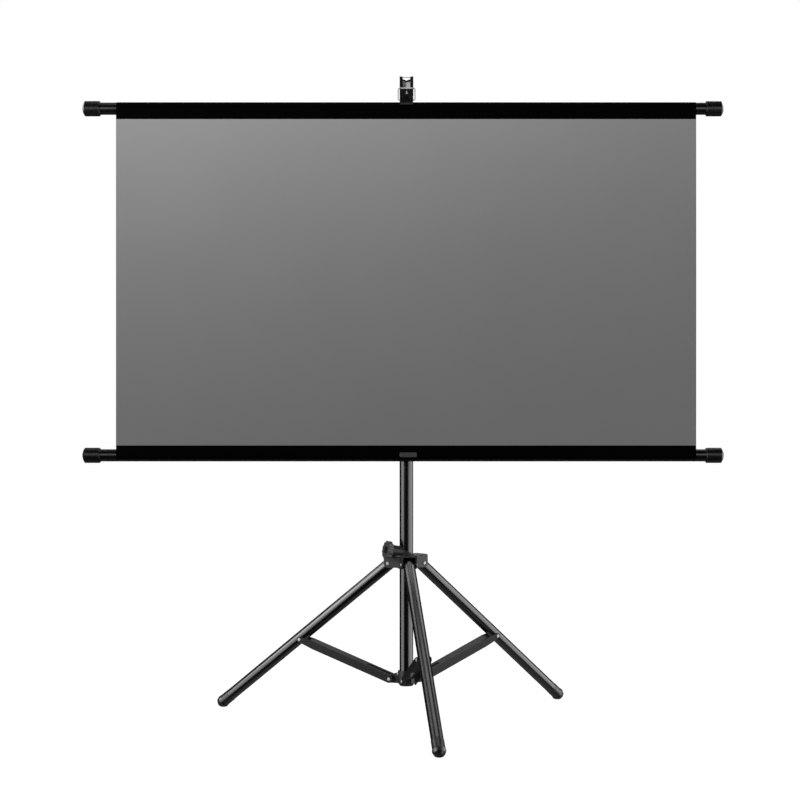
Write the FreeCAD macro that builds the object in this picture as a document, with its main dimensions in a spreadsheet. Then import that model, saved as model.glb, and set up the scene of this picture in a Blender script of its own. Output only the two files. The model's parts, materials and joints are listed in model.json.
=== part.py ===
import FreeCAD, Part
import math
import os
import re
import Sketcher

# A projection screen on a tripod: the cloth hangs between two rods from a hook on a telescoping mast.
# The origin is on the mast's axis at floor level, +Z is up and the picture side faces -Y.

# Driving sizes, in millimetres, degrees and counts
SIZES = {
    # Screen cloth and the black bands that carry it on the rods
    "view_width": 1328,
    "view_height": 747,
    "cloth_thickness": 0.6,
    "cloth_offset": 7,
    "top_reach": 26,
    "bottom_reach": 23,
    "top_wrap": 45,
    "bottom_wrap": 41,
    "sheet_gap": 0.1,
    # Rods and their end caps
    "rod_diameter": 28,
    "rod_wall": 1.5,
    "rod_bare": 31,
    "rod_offset": -8,
    "cap_diameter": 35,
    "cap_length": 41,
    "cap_end": 8,
    "cap_dome": 6,
    "cap_lead": 1.5,
    # Saddle, barrel and wire bail on the top rod
    "saddle_width": 30,
    "saddle_sheet": 1.5,
    "saddle_wrap": 27,
    "saddle_neck": 6,
    "barrel_rise": 20,
    "barrel_diameter": 8,
    "bail_wire": 3.2,
    "bail_height": 27,
    "bail_width": 39,
    "bail_bend": 3.6,
    "bail_foot": 9,
    "bail_rest_gap": 0.3,
    # Hook head on top of the mast
    "screen_standoff": 82,
    "head_width": 31.5,
    "head_sheet": 2,
    "head_height": 47,
    "head_rear": 17,
    "head_flange": 10,
    "head_chamfer": 1.5,
    "head_upright": 7,
    "seat_rise": 16,
    "seat_half": 4.5,
    "seat_horn": 2,
    "horn_width": 2,
    "wall_depth": 26,
    "flange_start": 34,
    "notch_rise": 40,
    "notch_depth": 5.5,
    "arrow_width": 7,
    "arrow_height": 8,
    "arrow_rise": 4,
    "keeper_sheet": 1.2,
    "keeper_step": 4.5,
    "cross_pin": 2.4,
    "cross_pin_drop": 2.5,
    "cross_pin_back": 5.5,
    # Mast tubes
    "mast_diameter": 32,
    "mast_wall": 1.5,
    "mast_length": 718,
    "inner_diameter": 25,
    "inner_wall": 1.2,
    "inner_overlap": 320,
    "inner_length": 961,
    "bush_length": 40,
    "bush_lip": 4,
    "plug_length": 30,
    "plug_flange": 3,
    "bolt_diameter": 8,
    "bolt_head": 13,
    "bolt_head_height": 5,
    "bolt_length": 24,
    # Mast collar that clamps the inner tube
    "collar_diameter": 42,
    "collar_skirt": 32,
    "collar_head": 24,
    "collar_chamfer": 3,
    "collar_boss": 24,
    "collar_boss_reach": 33,
    "collar_stud_rise": 12,
    # Clamp knobs and their studs
    "knob_azimuth": -65,
    "knob_diameter": 43,
    "knob_thickness": 10,
    "knob_lobes": 12,
    "scallop_radius": 4.5,
    "scallop_reach": 24,
    "knob_neck": 18,
    "knob_neck_length": 3,
    "knob_dish": 9,
    "knob_dish_depth": 3,
    "knob_gap": 0.4,
    "stud_diameter": 8,
    "stud_grip": 6,
    # Tripod hub that slides on the mast
    "leg_count": 3,
    "front_azimuth": 8,
    "hub_height": 364,
    "hub_reach": 40,
    "hub_sleeve": 40,
    "hub_skirt": 12,
    "hub_collar": 37,
    "hub_slant": 27,
    "hub_plate": 74,
    "plate_rise": 17,
    "plate_thickness": 4,
    "clevis_width": 36,
    "clevis_slot": 29.5,
    "clevis_drop": 10,
    "clevis_chamfer": 3,
    "slot_start": 22.5,
    "hub_boss": 28,
    "hub_boss_start": 15,
    "hub_boss_reach": 40,
    "hub_stud_rise": 24,
    "hub_stud_tilt": 10,
    # Legs and feet
    "leg_diameter": 27.5,
    "leg_wall": 1.2,
    "leg_length": 562,
    "leg_crown": 9,
    "leg_tail": 3,
    "leg_plug": 25,
    "foot_height": 13.5,
    "foot_radius": 15.5,
    "foot_sleeve": 26,
    "foot_shoulder": 6,
    "foot_toe": 25,
    "foot_band": 30,
    # Braces between the legs and the foot of the mast
    "brace_seat": 297,
    "brace_drop": 5,
    "brace_sheet": 1.8,
    "brace_gap": 0.6,
    "brace_depth": 18,
    "brace_tongue": 13,
    "brace_taper": 40,
    "web_start": 24,
    "web_slot": 13,
    "web_slot_length": 66,
    # Spreader bracket at the foot of the mast
    "spreader_height": 93,
    "lug_reach": 38,
    "lug_radius": 10,
    "lug_thickness": 10,
    "cup_diameter": 40,
    "cup_foot": 30,
    "cup_below": 15,
    "cup_chamfer": 7,
    "cup_above": 20,
    "cup_floor": 4,
    "cup_rivet_rise": 13,
    # Pins and rivets
    "pin_diameter": 5,
    "pin_head": 8,
    "pin_head_height": 1.8,
    "pin_head_chamfer": 1,
    # Fits
    "snug_gap": 0.05,
    "running_gap": 0.05,
    "slide_gap": 0.3,
}

doc = FreeCAD.newDocument("projection_screen")
sheet = doc.addObject("Spreadsheet::Sheet", "Sizes")
for row, (alias, number) in enumerate(SIZES.items(), start=1):
    sheet.set(f"A{row}", alias)
    sheet.set(f"B{row}", str(number))
    sheet.setAlias(f"B{row}", alias)
doc.recompute()

X_AXIS = FreeCAD.Vector(1, 0, 0)
Y_AXIS = FreeCAD.Vector(0, 1, 0)
Z_AXIS = FreeCAD.Vector(0, 0, 1)
nodes = []


def cells(formula):
    """The formula with each size's name turned into its cell in the sheet."""
    return re.sub(r"[a-z_]+", lambda word: f"Sizes.{word[0]}" if word[0] in SIZES else word[0], formula)


def value(formula):
    """What a formula of sizes comes to."""
    return float(sheet.evalExpression(formula))


def bind(thing, name, formula):
    thing.setExpression(name, cells(formula))


def keep(thing, label, placement=FreeCAD.Placement()):
    """Name a finished piece and put it in its place."""
    thing.Label = label
    thing.Placement = placement
    nodes.append(thing)


def at(x=0, y=0, z=0, axis=Z_AXIS, angle=0):
    return FreeCAD.Placement(FreeCAD.Vector(x, y, z), FreeCAD.Rotation(axis, angle))


# Sketches whose corners are held by formulas


def origin_part(body, role):
    return next(part for part in body.Origin.OriginFeatures if part.Role == role)


def sketch_on(body, role, name, offset="0", turn="0", tilt="0", rise="0"):
    """A sketch on one of the body's own planes, turned about its upright axis, tilted up, moved along its
    normal and raised."""
    sketch = body.newObject("Sketcher::SketchObject", f"{body.Name}_{name}")
    sketch.AttachmentSupport = [(origin_part(body, role), "")]
    sketch.MapMode = "FlatFace"
    turned = FreeCAD.Rotation(Y_AXIS, value(turn)) * FreeCAD.Rotation(X_AXIS, -value(tilt))
    base = turned.multVec(Z_AXIS * value(offset)) + Y_AXIS * value(rise)
    sketch.AttachmentOffset = FreeCAD.Placement(base, turned)
    if offset != "0" and turn == "0":
        bind(sketch, "AttachmentOffset.Base.z", offset)
    return sketch


def hold(sketch, geometry, end, across, up):
    """Hold a point of the sketch where two formulas put it."""
    for kind, formula, axis in (("DistanceX", across, -2), ("DistanceY", up, -1)):
        if formula == "0":
            sketch.addConstraint(Sketcher.Constraint("PointOnObject", geometry, end, axis))
            continue
        row = sketch.addConstraint(Sketcher.Constraint(kind, -1, 1, geometry, end, value(formula)))
        bind(sketch, f"Constraints[{row}]", formula)


def hold_radius(sketch, geometry, radius):
    row = sketch.addConstraint(Sketcher.Constraint("Radius", geometry, value(radius)))
    bind(sketch, f"Constraints[{row}]", radius)


def corner_point(corner):
    return FreeCAD.Vector(value(corner[0]), value(corner[1]), 0)


def arc_between(start, end, radius, left):
    """The shorter arc between two points, turning left or right."""
    chord = end - start
    height = math.sqrt(max(radius**2 - chord.Length**2 / 4, 0))
    side = FreeCAD.Vector(-chord.y, chord.x, 0).normalize()
    centre = (start + end) * 0.5 + side * (height if left else -height)
    first, last = (start, end) if left else (end, start)
    angles = [math.atan2(point.y - centre.y, point.x - centre.x) for point in (first, last)]
    return Part.ArcOfCircle(Part.Circle(centre, Z_AXIS, radius), *angles)


def outline(sketch, corners, closed=True):
    """Draw from corner to corner. A corner is (across, up), and a third formula makes an arc of that radius
    to the next corner, to the left, or to the right where a fourth word says so."""
    count = len(corners) if closed else len(corners) - 1
    ends = []
    for index, corner in enumerate(corners[:count]):
        start = corner_point(corner)
        end = corner_point(corners[(index + 1) % len(corners)])
        if len(corner) == 2:
            geometry = sketch.addGeometry(Part.LineSegment(start, end))
            ends.append((geometry, 1, 2))
        else:
            left = len(corner) == 3
            geometry = sketch.addGeometry(arc_between(start, end, value(corner[2]), left))
            ends.append((geometry, 1, 2) if left else (geometry, 2, 1))
            hold_radius(sketch, geometry, corner[2])
    for index, (geometry, first, last) in enumerate(ends):
        hold(sketch, geometry, first, *corners[index][:2])
        if closed or index + 1 < count:
            follower, start_end, _ = ends[(index + 1) % count]
            sketch.addConstraint(Sketcher.Constraint("Coincident", geometry, last, follower, start_end))
        else:
            hold(sketch, geometry, last, *corners[-1][:2])


def rectangle(sketch, left, right, bottom, top):
    outline(sketch, [(left, bottom), (right, bottom), (right, top), (left, top)])


def circle(sketch, across, up, radius):
    centre = FreeCAD.Vector(value(across), value(up), 0)
    geometry = sketch.addGeometry(Part.Circle(centre, Z_AXIS, value(radius)))
    hold(sketch, geometry, 3, across, up)
    hold_radius(sketch, geometry, radius)


# Features made from sketches


def new_body(name):
    return doc.addObject("PartDesign::Body", name)


def pad(body, sketch, length, both_ways=False):
    made = body.newObject("PartDesign::Pad", f"{sketch.Name}_pad")
    made.Profile = sketch
    made.SideType = "Symmetric" if both_ways else "One side"
    bind(made, "Length", length)
    doc.recompute()
    return made


def pocket(body, sketch, length=None, way="both"):
    """Cut the sketch through, or to a length. The way is both, with (the sketch's normal) or against it."""
    before = body.Shape.Volume
    made = body.newObject("PartDesign::Pocket", f"{sketch.Name}_cut")
    made.Profile = sketch
    made.SideType = "Symmetric" if way == "both" else "One side"
    made.Reversed = way == "with"
    if length is None:
        made.Type = "ThroughAll"
    else:
        bind(made, "Length", length)
    doc.recompute()
    if body.Shape.Volume > before - 0.01:
        raise RuntimeError(f"{sketch.Name} cuts nothing")
    return made


def revolve(body, sketch, axis="V_Axis"):
    made = body.newObject("PartDesign::Revolution", f"{sketch.Name}_turn")
    made.Profile = sketch
    made.ReferenceAxis = (sketch, [axis])
    made.Angle = 360
    doc.recompute()
    return made


def polar(body, originals, axis, count):
    made = body.newObject("PartDesign::PolarPattern", f"{originals[0].Name}_ring")
    made.Originals = originals
    made.Axis = (origin_part(body, axis), [""])
    made.Angle = 360
    bind(made, "Occurrences", count)
    body.Tip = made
    doc.recompute()
    return made


def tube(name, outer, wall, length, role="XY_Plane", both_ways=False, offset="0"):
    body = new_body(name)
    ring = sketch_on(body, role, "ring", offset)
    circle(ring, "0", "0", f"{outer} / 2")
    circle(ring, "0", "0", f"{outer} / 2 - {wall}")
    pad(body, ring, length, both_ways)
    return body


def rivet(name, half_grip, shank):
    """A round pin along Y with a flat chamfered head on each end."""
    body = new_body(name)
    profile = sketch_on(body, "XY_Plane", "profile")
    tip = f"({half_grip} + pin_head_height)"
    inset = "pin_head / 2 - pin_head_chamfer"
    outline(
        profile,
        [
            ("0", f"-{tip}"),
            (inset, f"-{tip}"),
            ("pin_head / 2", f"pin_head_chamfer - {tip}"),
            ("pin_head / 2", f"-({half_grip})"),
            (shank, f"-({half_grip})"),
            (shank, half_grip),
            ("pin_head / 2", half_grip),
            ("pin_head / 2", f"{tip} - pin_head_chamfer"),
            (inset, tip),
            ("0", tip),
        ],
    )
    revolve(body, profile)
    return body


def group(label, pieces):
    """Several like pieces that share one node."""
    made = doc.addObject("Part::Compound", label)
    made.Links = pieces
    keep(made, label)


# Heights and angles that follow from the sizes

SEAT_HEIGHT = (
    "(spreader_height - cup_below + cup_floor + mast_length - inner_overlap + inner_length"
    " + plug_flange + seat_rise)"
)
TOP_ROD_HEIGHT = f"({SEAT_HEIGHT} + bail_rest_gap + bail_wire / 2 - bail_height - barrel_rise)"
BOTTOM_ROD_HEIGHT = f"({TOP_ROD_HEIGHT} - top_reach - view_height - bottom_reach)"
MAST_FOOT = "(spreader_height - cup_below + cup_floor)"
MAST_TOP = f"({MAST_FOOT} + mast_length)"
INNER_FOOT = f"({MAST_TOP} - inner_overlap)"
INNER_TOP = f"({INNER_FOOT} + inner_length)"
HEAD_FLOOR = f"({INNER_TOP} + plug_flange)"

# The leg's slope, from the vertical, and the brace between its two pivots
LEG_COS = "((hub_height - foot_height) / leg_length)"
LEG_SIN = f"sqrt(1 - {LEG_COS}^2)"
BRACE_OUT = f"(hub_reach + brace_seat * {LEG_SIN} - brace_drop * {LEG_COS} - lug_reach)"
BRACE_UP = f"(hub_height - brace_seat * {LEG_COS} - brace_drop * {LEG_SIN} - spreader_height)"
BRACE_LENGTH = f"sqrt({BRACE_OUT}^2 + {BRACE_UP}^2)"

# Where the tilted stud of the hub's knob stops short of the mast
HUB_STUD_START = (
    "((mast_diameter / 2 + slide_gap + stud_diameter / 2 * sin(hub_stud_tilt)) / cos(hub_stud_tilt))"
)

LEGS = ("front", "right", "left")


def turn_of_azimuth(azimuth):
    """The turn about Z that brings +X to an azimuth, which counts from the picture side towards +X."""
    return azimuth - 90


def leg_turn(index):
    return turn_of_azimuth(value("front_azimuth") + index * 360 / value("leg_count"))


FRONT_TURN = leg_turn(0)
KNOB_TURN = turn_of_azimuth(value("knob_azimuth"))


# Lower mast tube


def make_lower_tube():
    body = tube("lower_tube", "mast_diameter", "mast_wall", "mast_length")
    hole = sketch_on(body, "XZ_Plane", "rivet_hole")
    circle(hole, "0", "cup_rivet_rise + cup_below - cup_floor", "pin_diameter / 2 + snug_gap")
    pocket(body, hole)
    keep(body, "lower_tube", at(z=value(MAST_FOOT), angle=FRONT_TURN))


# Spreader bracket: a cup round the foot of the mast with three lugs for the braces


def make_spreader_bracket():
    body = new_body("spreader_bracket")
    cup = sketch_on(body, "XZ_Plane", "cup")
    outline(
        cup,
        [
            ("0", "-cup_below"),
            ("cup_foot / 2", "-cup_below"),
            ("cup_diameter / 2", "cup_chamfer - cup_below"),
            ("cup_diameter / 2", "cup_above"),
            ("0", "cup_above"),
        ],
    )
    revolve(body, cup)
    lug = sketch_on(body, "XZ_Plane", "lug")
    outline(
        lug,
        [
            ("0", "-lug_radius"),
            ("lug_reach", "-lug_radius", "lug_radius"),
            ("lug_reach + lug_radius", "0", "lug_radius"),
            ("lug_reach", "lug_radius"),
            ("cup_diameter / 2", "cup_above - lug_radius / 2"),
            ("0", "cup_above - lug_radius / 2"),
        ],
    )
    lug_pad = pad(body, lug, "lug_thickness", both_ways=True)
    eye = sketch_on(body, "XZ_Plane", "eye")
    circle(eye, "lug_reach", "0", "pin_diameter / 2 + running_gap")
    eye_cut = pocket(body, eye, "lug_thickness")
    polar(body, [lug_pad, eye_cut], "Z_Axis", "leg_count")
    bore = sketch_on(body, "XY_Plane", "bore", "cup_above")
    circle(bore, "0", "0", "mast_diameter / 2 + snug_gap")
    pocket(body, bore, "cup_above + cup_below - cup_floor", "against")
    hole = sketch_on(body, "XZ_Plane", "rivet_hole")
    circle(hole, "0", "cup_rivet_rise", "pin_diameter / 2 + snug_gap")
    pocket(body, hole, "cup_diameter + pin_head")
    place = at(z=value("spreader_height"), angle=FRONT_TURN)
    keep(body, "spreader_bracket", place)
    pin = rivet("bracket_rivet", "cup_diameter / 2", "pin_diameter / 2")
    keep(pin, "bracket_rivet", place * at(z=value("cup_rivet_rise")))


# Mast collar: moulded sleeve on the lower tube's end, bored for the inner tube, with a boss for the stud


def make_mast_collar():
    body = new_body("mast_collar")
    shell = sketch_on(body, "XZ_Plane", "shell")
    outline(
        shell,
        [
            ("0", "-collar_skirt"),
            ("collar_diameter / 2 - collar_chamfer", "-collar_skirt"),
            ("collar_diameter / 2", "collar_chamfer - collar_skirt"),
            ("collar_diameter / 2", "collar_head - collar_chamfer"),
            ("collar_diameter / 2 - collar_chamfer", "collar_head"),
            ("0", "collar_head"),
        ],
    )
    revolve(body, shell)
    boss = sketch_on(body, "YZ_Plane", "boss")
    circle(boss, "0", "collar_stud_rise", "collar_boss / 2")
    pad(body, boss, "collar_boss_reach")
    bore = sketch_on(body, "XY_Plane", "bore")
    circle(bore, "0", "0", "inner_diameter / 2 + slide_gap")
    pocket(body, bore)
    seat = sketch_on(body, "XY_Plane", "seat")
    circle(seat, "0", "0", "mast_diameter / 2 + snug_gap")
    pocket(body, seat, "collar_skirt", "against")
    stud_bore = sketch_on(body, "YZ_Plane", "stud_bore")
    circle(stud_bore, "0", "collar_stud_rise", "stud_diameter / 2 + running_gap")
    pocket(body, stud_bore, None, "with")
    keep(body, "mast_collar", at(z=value(MAST_TOP), angle=KNOB_TURN))


# Clamp knobs: a lobed disc with a dished face on a short neck, and the stud that it turns


def make_knob(name, boss_reach, stud_start, place):
    start = f"({boss_reach} + knob_gap)"
    disc_start = f"({start} + knob_neck_length)"
    body = new_body(name)
    neck = sketch_on(body, "YZ_Plane", "neck", start)
    circle(neck, "0", "0", "knob_neck / 2")
    pad(body, neck, "knob_neck_length")
    disc = sketch_on(body, "YZ_Plane", "disc", disc_start)
    circle(disc, "0", "0", "knob_diameter / 2")
    pad(body, disc, "knob_thickness")
    scallop = sketch_on(body, "YZ_Plane", "scallop", disc_start)
    circle(scallop, "scallop_reach", "0", "scallop_radius")
    cut = pocket(body, scallop, "knob_thickness", "with")
    polar(body, [cut], "X_Axis", "knob_lobes")
    dish = sketch_on(body, "YZ_Plane", "dish", f"{disc_start} + knob_thickness")
    circle(dish, "0", "0", "knob_dish / 2")
    pocket(body, dish, "knob_dish_depth", "against")
    bore = sketch_on(body, "YZ_Plane", "bore", start)
    circle(bore, "0", "0", "stud_diameter / 2 + snug_gap")
    pocket(body, bore, "knob_neck_length + stud_grip", "with")
    keep(body, name, place)
    stud = new_body(f"{name}_stud")
    rod = sketch_on(stud, "YZ_Plane", "rod", stud_start)
    circle(rod, "0", "0", "stud_diameter / 2")
    pad(stud, rod, f"{disc_start} + stud_grip - ({stud_start})")
    keep(stud, f"{name}_stud", place)


# Upper mast: inner tube, guide bush on its lower end and plug in its upper end


def make_upper_mast():
    inner = tube("upper_tube", "inner_diameter", "inner_wall", "inner_length")
    keep(inner, "upper_tube", at(z=value(INNER_FOOT)))

    bush = new_body("guide_bush")
    section = sketch_on(bush, "XZ_Plane", "section")
    lip = "mast_diameter / 2 - mast_wall - slide_gap"
    stem = "inner_diameter / 2 - inner_wall - snug_gap"
    outline(
        section,
        [
            (f"{stem} - inner_wall", "-bush_lip"),
            (lip, "-bush_lip"),
            (lip, "0"),
            (stem, "0"),
            (stem, "bush_length"),
            (f"{stem} - inner_wall", "bush_length"),
        ],
    )
    revolve(bush, section)
    keep(bush, "guide_bush", at(z=value(INNER_FOOT)))

    plug = new_body("top_plug")
    section = sketch_on(plug, "XZ_Plane", "section")
    stem = "inner_diameter / 2 - inner_wall - snug_gap"
    thread = "bolt_diameter / 2 + snug_gap"
    outline(
        section,
        [
            (thread, "-plug_length"),
            (stem, "-plug_length"),
            (stem, "0"),
            ("inner_diameter / 2", "0"),
            ("inner_diameter / 2", "plug_flange"),
            (thread, "plug_flange"),
        ],
    )
    revolve(plug, section)
    keep(plug, "top_plug", at(z=value(INNER_TOP)))


# Hook head: a bent sheet channel that reaches forward over the top rod, with a seat for the bail's crossbar


def make_hanger_head():
    front = "-(screen_standoff + seat_half + horn_width)"
    wall = "-(screen_standoff - seat_half)"
    body = new_body("hanger_head")
    side = sketch_on(body, "YZ_Plane", "side")
    outline(
        side,
        [
            (front, "0"),
            ("head_rear", "0"),
            ("head_rear", "head_flange"),
            ("-flange_start", "head_flange"),
            (f"{wall} + wall_depth", "head_height"),
            (f"{wall} + head_chamfer", "head_height"),
            (wall, "head_height - head_chamfer"),
            (wall, "seat_rise"),
            (f"{front} + horn_width", "seat_rise"),
            (f"{front} + horn_width", "seat_rise + seat_horn"),
            (front, "seat_rise + seat_horn"),
        ],
    )
    pad(body, side, "head_width", both_ways=True)
    inside = sketch_on(body, "YZ_Plane", "inside")
    beyond = "head_height + head_sheet"
    rectangle(inside, f"{front} + head_sheet", "head_rear + head_sheet", "head_sheet", beyond)
    pocket(body, inside, "head_width - 2 * head_sheet")
    front_cut = sketch_on(body, "XZ_Plane", "front_cut")
    inner = "(head_width / 2 - head_sheet)"
    rectangle(front_cut, f"-{inner}", inner, "seat_rise - seat_horn / 2", "head_height")
    pocket(body, front_cut, "screen_standoff + seat_half + horn_width", "with")
    uprights = sketch_on(body, "XZ_Plane", "uprights", f"-({wall}) - head_sheet")
    outer_side, inner_side = "(head_width / 2 - head_sheet / 2)", "(head_width / 2 - head_upright)"
    rectangle(uprights, f"-{outer_side}", f"-{inner_side}", "seat_rise", "head_height - head_chamfer")
    rectangle(uprights, inner_side, outer_side, "seat_rise", "head_height - head_chamfer")
    pad(body, uprights, "head_sheet")
    rear = sketch_on(body, "XZ_Plane", "rear_wall", f"-({wall}) - wall_depth + head_sheet")
    edge = "(head_width / 2 - head_sheet / 2)"
    outline(
        rear,
        [
            (f"-{edge}", "head_sheet / 2"),
            (edge, "head_sheet / 2"),
            (edge, "notch_rise + notch_depth"),
            ("0", "notch_rise"),
            (f"-{edge}", "notch_rise + notch_depth"),
        ],
    )
    pad(body, rear, "head_sheet")
    arrow = sketch_on(body, "XZ_Plane", "arrow", f"-({front})")
    outline(
        arrow,
        [
            ("-arrow_width / 2", "arrow_rise"),
            ("arrow_width / 2", "arrow_rise"),
            ("0", "arrow_rise + arrow_height"),
        ],
    )
    pocket(body, arrow, "head_sheet", "against")
    hole = sketch_on(body, "XY_Plane", "bolt_hole")
    circle(hole, "0", "0", "bolt_diameter / 2 + snug_gap")
    pocket(body, hole)
    pin_centre = (f"{wall} + cross_pin_back", "head_height - cross_pin_drop")
    hole = sketch_on(body, "YZ_Plane", "pin_hole")
    circle(hole, *pin_centre, "cross_pin / 2 + snug_gap")
    pocket(body, hole)
    place = at(z=value(HEAD_FLOOR))
    keep(body, "hanger_head", place)

    pin = new_body("head_pin")
    section = sketch_on(pin, "YZ_Plane", "section")
    circle(section, *pin_centre, "cross_pin / 2")
    pad(pin, section, "head_width", both_ways=True)
    keep(pin, "head_pin", place)

    keeper = new_body("hook_keeper")
    plate = sketch_on(keeper, "XZ_Plane", "plate", f"-({wall}) - wall_depth + 2 * head_sheet")
    edge = "(head_width / 2 - head_sheet - slide_gap)"
    outline(
        plate,
        [
            (f"-{edge}", "head_sheet"),
            (edge, "head_sheet"),
            (edge, "notch_rise + notch_depth - keeper_step"),
            ("0", "notch_rise - keeper_step"),
            (f"-{edge}", "notch_rise + notch_depth - keeper_step"),
        ],
    )
    pad(keeper, plate, "keeper_sheet")
    keep(keeper, "hook_keeper", place)

    bolt = new_body("head_bolt")
    section = sketch_on(bolt, "XZ_Plane", "section")
    outline(
        section,
        [
            ("0", "head_sheet - bolt_length"),
            ("bolt_diameter / 2", "head_sheet - bolt_length"),
            ("bolt_diameter / 2", "head_sheet"),
            ("bolt_head / 2", "head_sheet"),
            ("bolt_head / 2", "head_sheet + bolt_head_height / 2"),
            ("bolt_head / 2 - bolt_head_height / 2", "head_sheet + bolt_head_height"),
            ("0", "head_sheet + bolt_head_height"),
        ],
    )
    revolve(bolt, section)
    keep(bolt, "head_bolt", place)


# Tripod hub: a sleeve with a slanted clamp collar, a top plate and three clevises


def make_hub():
    body = new_body("hub_body")
    sleeve = sketch_on(body, "XY_Plane", "sleeve", "-hub_skirt")
    circle(sleeve, "0", "0", "hub_sleeve / 2")
    pad(body, sleeve, "hub_skirt + hub_collar")
    knob_side = "knob_azimuth - front_azimuth"
    slant = sketch_on(body, "XZ_Plane", "slant", turn=knob_side)
    outline(
        slant,
        [
            ("-hub_sleeve", "hub_collar - 1.5 * hub_sleeve * tan(hub_slant)"),
            ("hub_sleeve / 2", "hub_collar"),
            ("-hub_sleeve", "hub_collar"),
        ],
    )
    pocket(body, slant)
    plate = sketch_on(body, "XY_Plane", "plate", "plate_rise")
    circle(plate, "0", "0", "hub_plate / 2")
    pad(body, plate, "plate_thickness")
    top = "plate_rise + plate_thickness"
    nose = "hub_reach + clevis_drop"
    arm = sketch_on(body, "XZ_Plane", "arm")
    outline(
        arm,
        [
            ("0", "-clevis_drop"),
            ("hub_reach", "-clevis_drop", "clevis_drop"),
            (nose, "0"),
            (nose, f"{top} - clevis_chamfer"),
            (f"{nose} - clevis_chamfer", top),
            ("0", top),
        ],
    )
    arm_pad = pad(body, arm, "clevis_width", both_ways=True)
    slot = sketch_on(body, "XZ_Plane", "slot")
    rectangle(slot, "slot_start", f"{nose} + clevis_drop", "-2 * clevis_drop", "plate_rise")
    slot_cut = pocket(body, slot, "clevis_slot")
    eye = sketch_on(body, "XZ_Plane", "eye")
    circle(eye, "hub_reach", "0", "pin_diameter / 2 + snug_gap")
    eye_cut = pocket(body, eye, "clevis_width")
    polar(body, [arm_pad, slot_cut, eye_cut], "Z_Axis", "leg_count")
    boss = sketch_on(body, "YZ_Plane", "boss", "hub_boss_start", knob_side, "hub_stud_tilt", "hub_stud_rise")
    circle(boss, "0", "0", "hub_boss / 2")
    pad(body, boss, "hub_boss_reach - hub_boss_start")
    bore = sketch_on(body, "XY_Plane", "bore")
    circle(bore, "0", "0", "mast_diameter / 2 + slide_gap")
    pocket(body, bore)
    stud_bore = sketch_on(body, "YZ_Plane", "stud_bore", "0", knob_side, "hub_stud_tilt", "hub_stud_rise")
    circle(stud_bore, "0", "0", "stud_diameter / 2 + running_gap")
    pocket(body, stud_bore, None, "with")
    keep(body, "hub_body", at(z=value("hub_height"), angle=FRONT_TURN))

    pins = []
    for index in range(len(LEGS)):
        pin = rivet(f"hub_pin_{LEGS[index]}", "clevis_width / 2", "pin_diameter / 2")
        pin.Placement = at(angle=leg_turn(index)) * at(value("hub_reach"), 0, value("hub_height"))
        pins.append(pin)
    group("hub_pins", pins)


# Legs: tube on the hub pin, plug in its upper end and rubber foot, cut flat where it stands


def make_leg(index):
    name = LEGS[index]
    slope = math.degrees(math.asin(value(LEG_COS)))
    hinge = at(value("hub_reach"), 0, value("hub_height"), Y_AXIS, slope)
    place = at(angle=leg_turn(index)) * hinge
    body = tube(
        f"leg_{name}_tube",
        "leg_diameter",
        "leg_wall",
        "leg_crown + leg_length + leg_tail",
        "YZ_Plane",
        offset="-leg_crown",
    )
    eye = sketch_on(body, "XZ_Plane", "hub_eye")
    circle(eye, "0", "0", "pin_diameter / 2 + running_gap")
    pocket(body, eye)
    eye = sketch_on(body, "XZ_Plane", "brace_eye")
    circle(eye, "brace_seat", "-brace_drop", "pin_diameter / 2 + running_gap")
    pocket(body, eye)
    keep(body, f"leg_{name}_tube", place)

    plug = new_body(f"leg_{name}_plug")
    stem = sketch_on(plug, "YZ_Plane", "stem", "-leg_crown")
    circle(stem, "0", "0", "leg_diameter / 2 - leg_wall - snug_gap")
    pad(plug, stem, "leg_plug")
    eye = sketch_on(plug, "XZ_Plane", "eye")
    circle(eye, "0", "0", "pin_diameter / 2 + running_gap")
    pocket(plug, eye)
    plug.Placement = place

    foot = new_body(f"leg_{name}_foot")
    section = sketch_on(foot, "XZ_Plane", "section")
    bore = "leg_diameter / 2 + snug_gap"
    outer = "sqrt(foot_radius^2 - foot_shoulder^2)"
    outline(
        section,
        [
            ("leg_length - foot_sleeve", bore),
            ("leg_length + leg_tail", bore),
            ("leg_length + leg_tail", "0"),
            ("leg_length + foot_radius * cos(foot_toe)", "0"),
            *[
                (f"leg_length + foot_radius * cos({angle})", f"foot_radius * sin({angle})")
                for angle in ("foot_toe", "foot_toe + foot_band", "foot_toe + 2 * foot_band")
            ],
            ("leg_length - foot_shoulder", outer),
            ("leg_length - foot_sleeve", outer),
        ],
    )
    revolve(foot, section, "H_Axis")
    floor = sketch_on(foot, "XZ_Plane", "floor")
    inner_end = "leg_length - foot_sleeve"
    outer_end = "leg_length + 2 * foot_radius"
    outline(
        floor,
        [
            (inner_end, f"({LEG_COS} * ({inner_end}) - hub_height) / {LEG_SIN}"),
            (inner_end, "-5 * foot_radius"),
            (outer_end, "-5 * foot_radius"),
            (outer_end, f"({LEG_COS} * ({outer_end}) - hub_height) / {LEG_SIN}"),
        ],
    )
    pocket(foot, floor)
    foot.Placement = place
    group(f"leg_{name}_ends", [plug, foot])


# Braces: pressed channels, open below, that straddle the leg at one end and the bracket's lug at the other


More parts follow.
